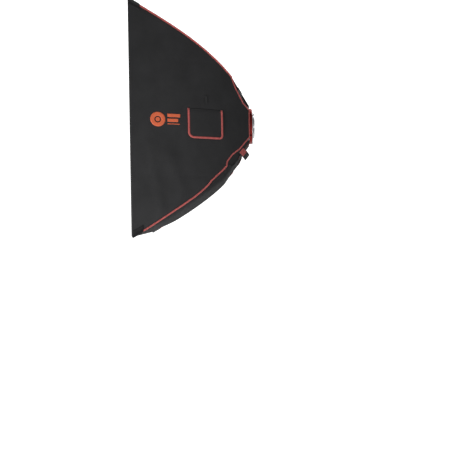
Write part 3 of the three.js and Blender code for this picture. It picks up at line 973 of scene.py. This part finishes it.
def make_front(looks):
    tape = inner_band("lip_tape", -0.447, -0.473, 0.0022, 0.0012, looks["nap"], "box", 0.004)
    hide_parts("loop_tape")

    half_y, half_z = side_y(DIFFUSER_X) - 0.007, top_z(DIFFUSER_X) - 0.007
    cloth = cross_cloth(
        "diffuser_cloth", DIFFUSER_X, half_y, half_z, DIFFUSER_CORNER_R, 0.004,
        looks["white"], "diffuser", seed=4.0, rows=90, columns=60,
    )
    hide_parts("front_diffuser")
    hem = flat_band(
        "diffuser_hem", DIFFUSER_X - 0.0013, half_y + 0.002, half_z + 0.002, DIFFUSER_CORNER_R + 0.002,
        0.022, 0.0016, looks["web"], "diffuser",
    )
    flange = inner_band(
        "diffuser_hook_tape", -0.4412, -0.4625, 0.0040, 0.0011, looks["nap"], "diffuser",
        skip_corners=0.075, root=0.006,
    )
    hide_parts("diffuser_border")


def make_baffle(looks):
    cloth = cross_cloth(
        "baffle_cloth", BAFFLE_X, 0.185, 0.270, 0.012, 0.003,
        looks["white"], "box", seed=9.0, rows=60, columns=44,
    )
    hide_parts("inner_baffle")
    hem = flat_band(
        "baffle_hem_tape", BAFFLE_X - 0.0013, 0.186, 0.271, 0.012,
        0.014, 0.0014, looks["web"], "box",
    )
    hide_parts("baffle_hem")
    reach = side_y(BAFFLE_X) - 0.002
    for corner, (sy, sz, _) in CORNERS.items():
        points = []
        for k in range(12):
            bow = 0.0012 * math.sin(math.pi * k / 11)
            y = 0.176 + (reach - 0.176) * k / 11
            points.append(Vector((BAFFLE_X - 0.001 - bow, sy * y, sz * 0.250)))
        strap = sweep(
            "baffle_elastic_" + corner, points, 0.014, 0.0013,
            [looks["elastic"]], "box", Vector((1, 0, 0)), power=0.5,
        )
        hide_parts("baffle_strap_" + corner)


def flap_low_edge(x):
    """The lower edge of the access flap at x, with its two rounded corners."""
    for edge, radius, sign in zip(FLAP_X, FLAP_CORNER_R, (1, -1)):
        over = radius - sign * (x - edge)
        if over > 0:
            return FLAP_Z[0] + radius - math.sqrt(max(radius * radius - over * over, 0.0))
    return FLAP_Z[0]


def flap_point(x, z, lift=0.0):
    """On the access flap's outer face: it lies off the panel and bows a little."""
    t = (FLAP_Z[1] - z) / (FLAP_Z[1] - FLAP_Z[0])
    bow = 0.0012 * math.sin(math.pi * t) + 0.0009 * t * t
    wave = 0.0006 * noise.noise(Vector((x * 18, z * 18, 5)))
    sewn = 0.0011 + (FLAP_LIFT - 0.0001) * smooth(t, 0.0, 0.12)
    return face_point("near", x, z, sewn + lift + bow + wave * t, plain=True)


def make_access_flap(looks):
    columns, rows = 67, 45
    verts, uvs = [], []
    for i in range(columns):
        t = 0.5 - 0.5 * math.cos(math.pi * i / (columns - 1))
        x = FLAP_X[0] + (FLAP_X[1] - FLAP_X[0]) * t
        low = flap_low_edge(x)
        for j in range(rows):
            z = FLAP_Z[1] + (low - FLAP_Z[1]) * j / (rows - 1)
            verts.append(flap_point(x, z))
            uvs.append((x, z))
    piece = new_piece("flap_cloth", verts, grid_faces(columns, rows), [looks["black"]], "hand_flap", uvs)
    thicken(piece, 0.0009)
    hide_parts("access_flap")
    size = (arc_length(side_y, FLAP_X[0]) - arc_length(side_y, FLAP_X[1]), FLAP_Z[1] - FLAP_Z[0])
    front_r, rear_r = FLAP_CORNER_R

    left, right = FLAP_X[0] + 0.0008, FLAP_X[1] - 0.0008
    low = FLAP_Z[0] + 0.0008
    line = [(left, z) for z in np.linspace(FLAP_Z[1], low + front_r, 16)]
    for a in np.linspace(0, math.pi / 2, 12)[1:]:
        line.append((left + front_r - front_r * math.cos(a), low + front_r - front_r * math.sin(a)))
    line += [(x, low) for x in np.linspace(left + front_r, right - rear_r, 22)[1:]]
    for a in np.linspace(0, math.pi / 2, 10)[1:]:
        line.append((right - rear_r + rear_r * math.sin(a), low + rear_r - rear_r * math.cos(a)))
    line += [(right, z) for z in np.linspace(low + rear_r, FLAP_Z[1], 16)[1:]]
    points = [flap_point(x, z, -0.0003) for x, z in line]
    up = [face_normal("near", x) for x, _ in line]
    trim = sweep(
        "flap_trim", points, 0.0084, 0.0038, [looks["trim"]], "hand_flap", up, sides=14, power=0.75
    )
    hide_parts("access_flap_binding")

    xs = np.linspace(FLAP_X[0] + 0.005, FLAP_X[1] - 0.005, 40)
    seam = [(flap_point(x, FLAP_Z[1] - 0.004, 0.0003), face_normal("near", x)) for x in xs]
    make_stitches("flap_seam_stitches", seam, looks["thread"], "hand_flap")
    hook = (-0.244, -0.144, -0.070, -0.064)
    near_patch("flap_hook", hook, 0.0004, 0.0012, looks["nap"], "hand_flap", "flap_hook_tape")
    keeper = (-0.194, -0.186, 0.062, 0.094)
    near_patch("keeper", keeper, 0.0016, 0.0014, looks["web"], "box", "flap_keeper")


def near_patch(name, place, lift, thickness, look, body, node):
    """A small strip that follows the near side's face. Its place is two x values and two z values."""
    x0, x1, z0, z1 = place
    columns, rows = 24, 12
    verts, uvs = [], []
    for i in range(columns):
        x = x0 + (x1 - x0) * i / (columns - 1)
        for j in range(rows):
            z = z1 + (z0 - z1) * j / (rows - 1)
            verts.append(face_point("near", x, z, lift + thickness / 2, plain=name == "flap_hook"))
            uvs.append((x, z))
    piece = new_piece(name, verts, grid_faces(columns, rows), [look], body, uvs)
    thicken(piece, thickness, offset=0)
    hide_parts(node)


def make_print(looks):
    """A plain round light mark and three bars, in orange ink."""
    ink = 0.00035
    verts, faces, uvs = [], [], []

    def ring(cx, cz, inner, outer, start, end, steps):
        base = len(verts)
        for k in range(steps + 1):
            angle = math.radians(start + (end - start) * k / steps)
            for r in np.linspace(inner, outer, 6):
                x, z = cx + r * math.cos(angle), cz + r * math.sin(angle)
                verts.append(face_point("near", x, z, ink))
                uvs.append((x, z))
        faces.extend(tuple(base + i for i in face)[::-1] for face in grid_faces(steps + 1, 6))

    def bar(x0, x1, z0, z1):
        base = len(verts)
        for x in np.linspace(x0, x1, 16):
            for z in np.linspace(z1, z0, 8):
                verts.append(face_point("near", float(x), float(z), ink))
                uvs.append((x, z))
        faces.extend(tuple(base + i for i in face) for face in grid_faces(16, 8))

    centre = (-0.3765, -0.009)
    ring(*centre, 0.0125, 0.0285, 0, 360, 72)
    ring(*centre, 0.0005, 0.0085, 0, 360, 40)
    bar(-0.340, -0.291, 0.001, 0.014)
    bar(-0.340, -0.299, -0.018, -0.005)
    bar(-0.340, -0.293, -0.0275, -0.0245)
    mark = new_piece("light_mark", verts, faces, [looks["print"]], "box", uvs)
    thicken(mark, 0.00025)


def tab_frame(corner):
    """Where a tab is sewn on, and its directions: along the corner, off the flap, and towards its end."""
    sy, sz, _ = CORNERS[corner]
    slope_y, slope_z = slope_of(side_y, TAB_X), slope_of(top_z, TAB_X)
    out = Vector((-slope_y, sy, 0)).normalized()
    along = Vector((1, sy * slope_y, sz * slope_z)).normalized()
    ahead = along.cross(out).normalized()
    if ahead.z * sz < 0:
        ahead.negate()
    return Vector((TAB_X, sy * side_y(TAB_X), sz * 0.110)), along, out, ahead


def open_tab_line(start, out, ahead, lift):
    """The undone tab comes out from under the flap's edge and stands off it."""
    line = []
    for k in range(28):
        t = k / 27
        rise = 0.0045 * smooth(t, 0.1, 0.5) + 0.003 * math.sin(math.pi * t) * t - 0.0023
        line.append(start + ahead * (0.061 * t - 0.009) + out * (rise + lift))
    return line


def closed_tab_line(corner, start, ahead, lift):
    """A tab done up: from under the tall flap's edge, over the slit and onto the wide flap."""
    sy, sz, _ = CORNERS[corner]
    tall, wide = ("near" if sy < 0 else "far"), ("top" if sz > 0 else "bottom")
    reach = 0.0
    edge = start
    while sz * edge.z < seam_half(tall, sz, edge.x) + 0.001 and reach < 0.05:
        reach += 0.001
        edge = start + ahead * reach
    line = []
    for k in range(6):
        q = start + ahead * ((reach + 0.009) * k / 5 - 0.009)
        line.append(face_point(tall, q.x, q.z, lift - 0.0023 * (1 - k / 5), True))
    x = edge.x + 0.004
    half = seam_half(wide, sy, x) - 0.005
    first = line.pop()
    last = face_point(wide, x, sy * half, lift + 0.003, True)
    bend = (first + last) / 2 + Vector((0, sy, sz)).normalized() * 0.005
    for k in range(12):
        t = k / 11
        line.append(first * (1 - t) ** 2 + bend * 2 * t * (1 - t) + last * t * t)
    for k in range(1, 12):
        line.append(face_point(wide, x - 0.0086 * k / 11, sy * (half - 0.030 * k / 11), lift + 0.003, True))
    return line


def tab_grid(corner, lift):
    """Lines of points along a tab, from one long edge to the other."""
    base, along, out, ahead = tab_frame(corner)
    lines = []
    for j in range(13):
        start = base + along * TAB_WIDTH * (j / 12 - 0.5)
        if corner == "near_bottom":
            lines.append(open_tab_line(start, out, ahead, lift))
        else:
            lines.append(closed_tab_line(corner, start, ahead, lift))
    return lines


def strip_piece(name, lines, thickness, look, body):
    """A strap made from lines of points that run along it."""
    verts, uvs = [], []
    for j, line in enumerate(lines):
        verts += line
        uvs += [(j * TAB_WIDTH / 12, (point - line[0]).length) for point in line]
    piece = new_piece(name, verts, grid_faces(len(lines), len(lines[0])), [look], body, uvs)
    thicken(piece, thickness, offset=0)
    return piece


def make_tab(corner, looks):
    """A webbing tab, the red patch on its end and the box of stitches that holds the patch."""
    body = "tab_" + corner
    strap = strip_piece("strap_" + corner, tab_grid(corner, 0.0), 0.0016, looks["web"], None)
    settle(strap)
    base, _, out, ahead = tab_frame(corner)
    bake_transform(strap)
    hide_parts("corner_tab_" + corner)

    first, last = (8, 19) if corner == "near_bottom" else (17, 27)
    patch_lines = [line[first:last] for line in tab_grid(corner, 0.0011)[1:-1]]
    patch = strip_piece("tab_patch_" + corner, patch_lines, 0.0008, looks["trim"], body)

    if corner != "near_bottom":
        sy, sz, _ = CORNERS[corner]
        out = face_normal("top" if sz > 0 else "bottom", TAB_X)
    top = [line[first + 1:last - 1] for line in tab_grid(corner, 0.0016)[2:-2]]
    rows, columns = len(top[0]), len(top)
    seams = [top[0], top[-1], [line[0] for line in top], [line[-1] for line in top]]
    spots = [round(k * (rows - 1) / (columns - 1)) for k in range(columns)]
    seams.append([top[k][spots[k]] for k in range(columns)])
    seams.append([top[k][spots[-1 - k]] for k in range(columns)])
    for number, seam in enumerate(seams, 1):
        line = [(p, out) for p in seam]
        name = f"tab_stitches_{corner}_{number}"
        make_stitches(name, line, looks["thread"], body, pitch=0.0032, length=0.0024, radius=0.0005)


# ---------------------------------------------------------------- hardware


def rod_line(corner, count=120):
    """Points along a sprung rod, from the ring to its tip."""
    sy, sz, _ = CORNERS[corner]
    points = []
    for t in np.linspace(0.0, ROD_END, count):
        x = float(np.interp(t, BOW_T, BOW_X))
        y, z = ROD_START + ROD_REACH_Y * t, ROD_START + ROD_REACH_Z * t
        points.append(Vector((x, sy * y, sz * z)))
    return points


def make_rod(corner, looks):
    points = rod_line(corner)
    up = Vector((0, 0, 1))
    rod = sweep("sprung_rod_" + corner, points, ROD_D, ROD_D, [looks["steel"]], "box", up, sides=16)
    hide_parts("rod_" + corner)

    start = points[0]
    ahead = (rod_line(corner, 17)[1] - start).normalized()
    tube = [
        (-0.004, 0.0), (-0.004, 0.0054), (-0.0035, 0.006), (0.0205, 0.006), (0.021, 0.0066),
        (0.0235, 0.0066), (0.024, 0.006), (0.024, 0.0036), (-0.0005, 0.0036), (-0.0005, 0.0),
    ]
    verts, faces = lathe_part(tube, 40)
    turn = Vector((1, 0, 0)).rotation_difference(ahead)
    verts = [start + turn @ v for v in verts]
    sleeve = new_piece("rod_sleeve_" + corner, verts, faces, [looks["zinc"]], "box")
    soften(sleeve, 0.0003)
    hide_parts("rod_socket_" + corner)

    tip = points[-1]
    back = (tip - points[-4]).normalized()
    verts, faces = rod_part(tip - back * 0.014, tip + back * 0.003, 0.0042, edge=0.0012)
    cap = new_piece("rod_cap_" + corner, verts, faces, [looks["plastic"]], "box")
    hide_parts("rod_tip_" + corner)


def block_part(centre, size, turn):
    """Verts and faces of a block, turned round X about the axis."""
    x, y, z = (s / 2 for s in size)
    signs = (-1, 1)
    corners = [Vector((a * x, b * y, c * z)) + Vector(centre) for a in signs for b in signs for c in signs]
    rotation = Matrix.Rotation(turn, 3, "X")
    faces = [(0, 1, 3, 2), (4, 6, 7, 5), (0, 4, 5, 1), (2, 3, 7, 6), (0, 2, 6, 4), (1, 5, 7, 3)]
    return [rotation @ c for c in corners], faces


def make_ring(looks):
    """The red ring with its four corner blocks, and the flat ring that keeps the insert in."""
    profile = [(-0.014, 0.058), (-0.014, 0.075), (0, 0.075), (0, 0.0672), (-0.008, 0.0672), (-0.008, 0.058)]
    parts = [lathe_part(profile[::-1], 128)]
    for sy, sz, _ in CORNERS.values():
        parts.append(block_part((-0.0085, 0.077, 0), (0.0105, 0.017, 0.023), math.atan2(sz, sy)))
    verts, faces = combine(parts)
    ring = new_piece("ring_body", verts, faces, [looks["anodised"]], "box")
    soften(ring, 0.0007, 3)
    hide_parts("speed_ring")

    plate_profile = [(0.0003, 0.061), (0.0003, 0.0746), (0.0028, 0.0746), (0.0028, 0.061)]
    verts, faces = lathe_part(plate_profile[::-1], 128)
    plate = new_piece("keeper_ring", verts, faces, [looks["zinc"]], "box")
    soften(plate, 0.0004)
    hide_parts("retaining_ring")


def make_insert(looks):
    """The bayonet collar and its three lugs."""
    core = [
        (-0.0076, 0.046), (-0.0076, 0.0666), (-0.0004, 0.0666),
        (-0.0004, 0.0495), (0.0108, 0.0495), (0.0108, 0.046),
    ]
    parts = [lathe_part(core[::-1], 128)]
    for middle in (90, 210, 330):
        verts, faces = [], []
        steps = 14
        section = [(0.0072, 0.048), (0.0072, 0.056), (0.0108, 0.056), (0.0108, 0.048)]
        for k in range(steps + 1):
            angle = math.radians(middle - 14.5 + 29 * k / steps)
            verts += [Vector((x, r * math.cos(angle), r * math.sin(angle))) for x, r in section]
        for k in range(steps):
            for c in range(4):
                n = (c + 1) % 4
                faces.append((4 * k + c, 4 * (k + 1) + c, 4 * (k + 1) + n, 4 * k + n))
        faces += [(0, 1, 2, 3), tuple(4 * steps + c for c in (3, 2, 1, 0))]
        parts.append((verts, faces))
    verts, faces = combine(parts)
    insert = new_piece("bayonet_body", verts, faces, [looks["zinc"]], "mount")
    soften(insert, 0.0005, 2)
    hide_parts("bayonet_insert")


def screw_places():
    """Y and Z of the retaining screws. The fourth stands off the axis, clear of the lock screw."""
    r = SCREW_CIRCLE_R
    return [(0, r), (-r, 0), (0, -r), (r * math.cos(0.5), r * math.sin(0.5))]


def make_screws(looks):
    """Pan heads. Their cross recess is not cut: black bars on each head stand in for it as painted shade.
    """
    dome = [
        (0.0029, 0.0), (0.0029, 0.0031), (0.0036, 0.0031), (0.0043, 0.0027),
        (0.0048, 0.0019), (0.0050, 0.0010), (0.0050, 0.0),
    ]
    recess_shade_bars = ((0.0005, 0.0030, 0.0007), (0.0005, 0.0007, 0.0030))
    for number, (y, z) in enumerate(screw_places(), 1):
        head = lathe_part(dome[::-1], 32, (0, y, z))
        shank = rod_part(Vector((-0.0065, y, z)), Vector((0.0031, y, z)), 0.0016, 16)
        verts, faces = combine([head, shank])
        screw = new_piece(f"screw_{number}", verts, faces, [looks["zinc"]], "box")
        soften(screw, 0.0002)
        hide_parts(f"retaining_screw_{number}")
        # Black bars sunk halfway into the dome: painted shade in place of the cross recess.
        verts, faces = combine([block_part((0.0050, 0, 0), slot, 0.4 * number) for slot in recess_shade_bars])
        verts = [v + Vector((0, y, z)) for v in verts]
        name = f"screw_recess_shade_{number}"
        recess = new_piece(name, verts, faces, [looks["plastic"]], "box", rounded=False)


def make_lock(looks):
    """The thumb screw: its shank, its lobed knob and the washer that travels with it."""
    verts, faces = rod_part(Vector((LOCK_X, 0.0671, 0)), Vector((LOCK_X, 0.096, 0)), 0.0025)
    screw = new_piece("lock_shank", verts, faces, [looks["zinc"]], "lock_thumb_screw")
    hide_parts("lock_screw")

    lobes = 8
    segments = 96
    rings = [
        (0.084, 0.80), (0.0848, 0.93), (0.0856, 1.0), (0.0984, 1.0),
        (0.0993, 0.92), (0.0998, 0.75), (0.1, 0.0),
    ]
    verts, faces = [], []
    for y, scale in rings:
        for k in range(segments):
            angle = 2 * math.pi * k / segments
            r = (0.0056 + 0.0005 * math.cos(lobes * angle)) * scale
            verts.append(Vector((LOCK_X + r * math.cos(angle), y, r * math.sin(angle))))
    for i in range(len(rings) - 1):
        for k in range(segments):
            n = (k + 1) % segments
            here, there = i * segments, (i + 1) * segments
            faces.append((here + k, there + k, there + n, here + n))
    faces.append(tuple(range(segments)))
    knob = new_piece("lock_grip", verts, faces, [looks["plastic"]], "lock_thumb_screw")
    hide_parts("lock_knob")

    ring = [(-0.0006, 0.0029), (-0.0006, 0.0043), (0.0006, 0.0043), (0.0006, 0.0029)]
    verts, faces = lathe_part(ring[::-1], 40)
    verts = [Vector((LOCK_X + v.y, 0.077 + v.x, -v.z)) for v in verts]
    washer = new_piece("lock_washer_plate", verts, faces, [looks["zinc"]], "lock_carrier")
    soften(washer, 0.0002)
    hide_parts("lock_washer")


# ---------------------------------------------------------------- build


def plain(bounds):
    """Bounds as lists that json can write."""
    return [[round(float(value), 5) for value in corner] for corner in bounds]


def build():
    make_camera()
    make_stage()
    make_light()
    looks = make_materials()
    for side in SIDES:
        make_panel(side, looks)
        make_flap_binding(side, looks)
    for corner in CORNERS:
        make_piping(corner, looks)
        make_gusset(corner, looks)
        make_pocket(corner, looks)
        make_tab(corner, looks)
        make_rod(corner, looks)
    make_rim(looks)
    make_front(looks)
    make_baffle(looks)
    make_access_flap(looks)
    make_print(looks)
    make_ring(looks)
    make_insert(looks)
    make_screws(looks)
    make_lock(looks)


build()
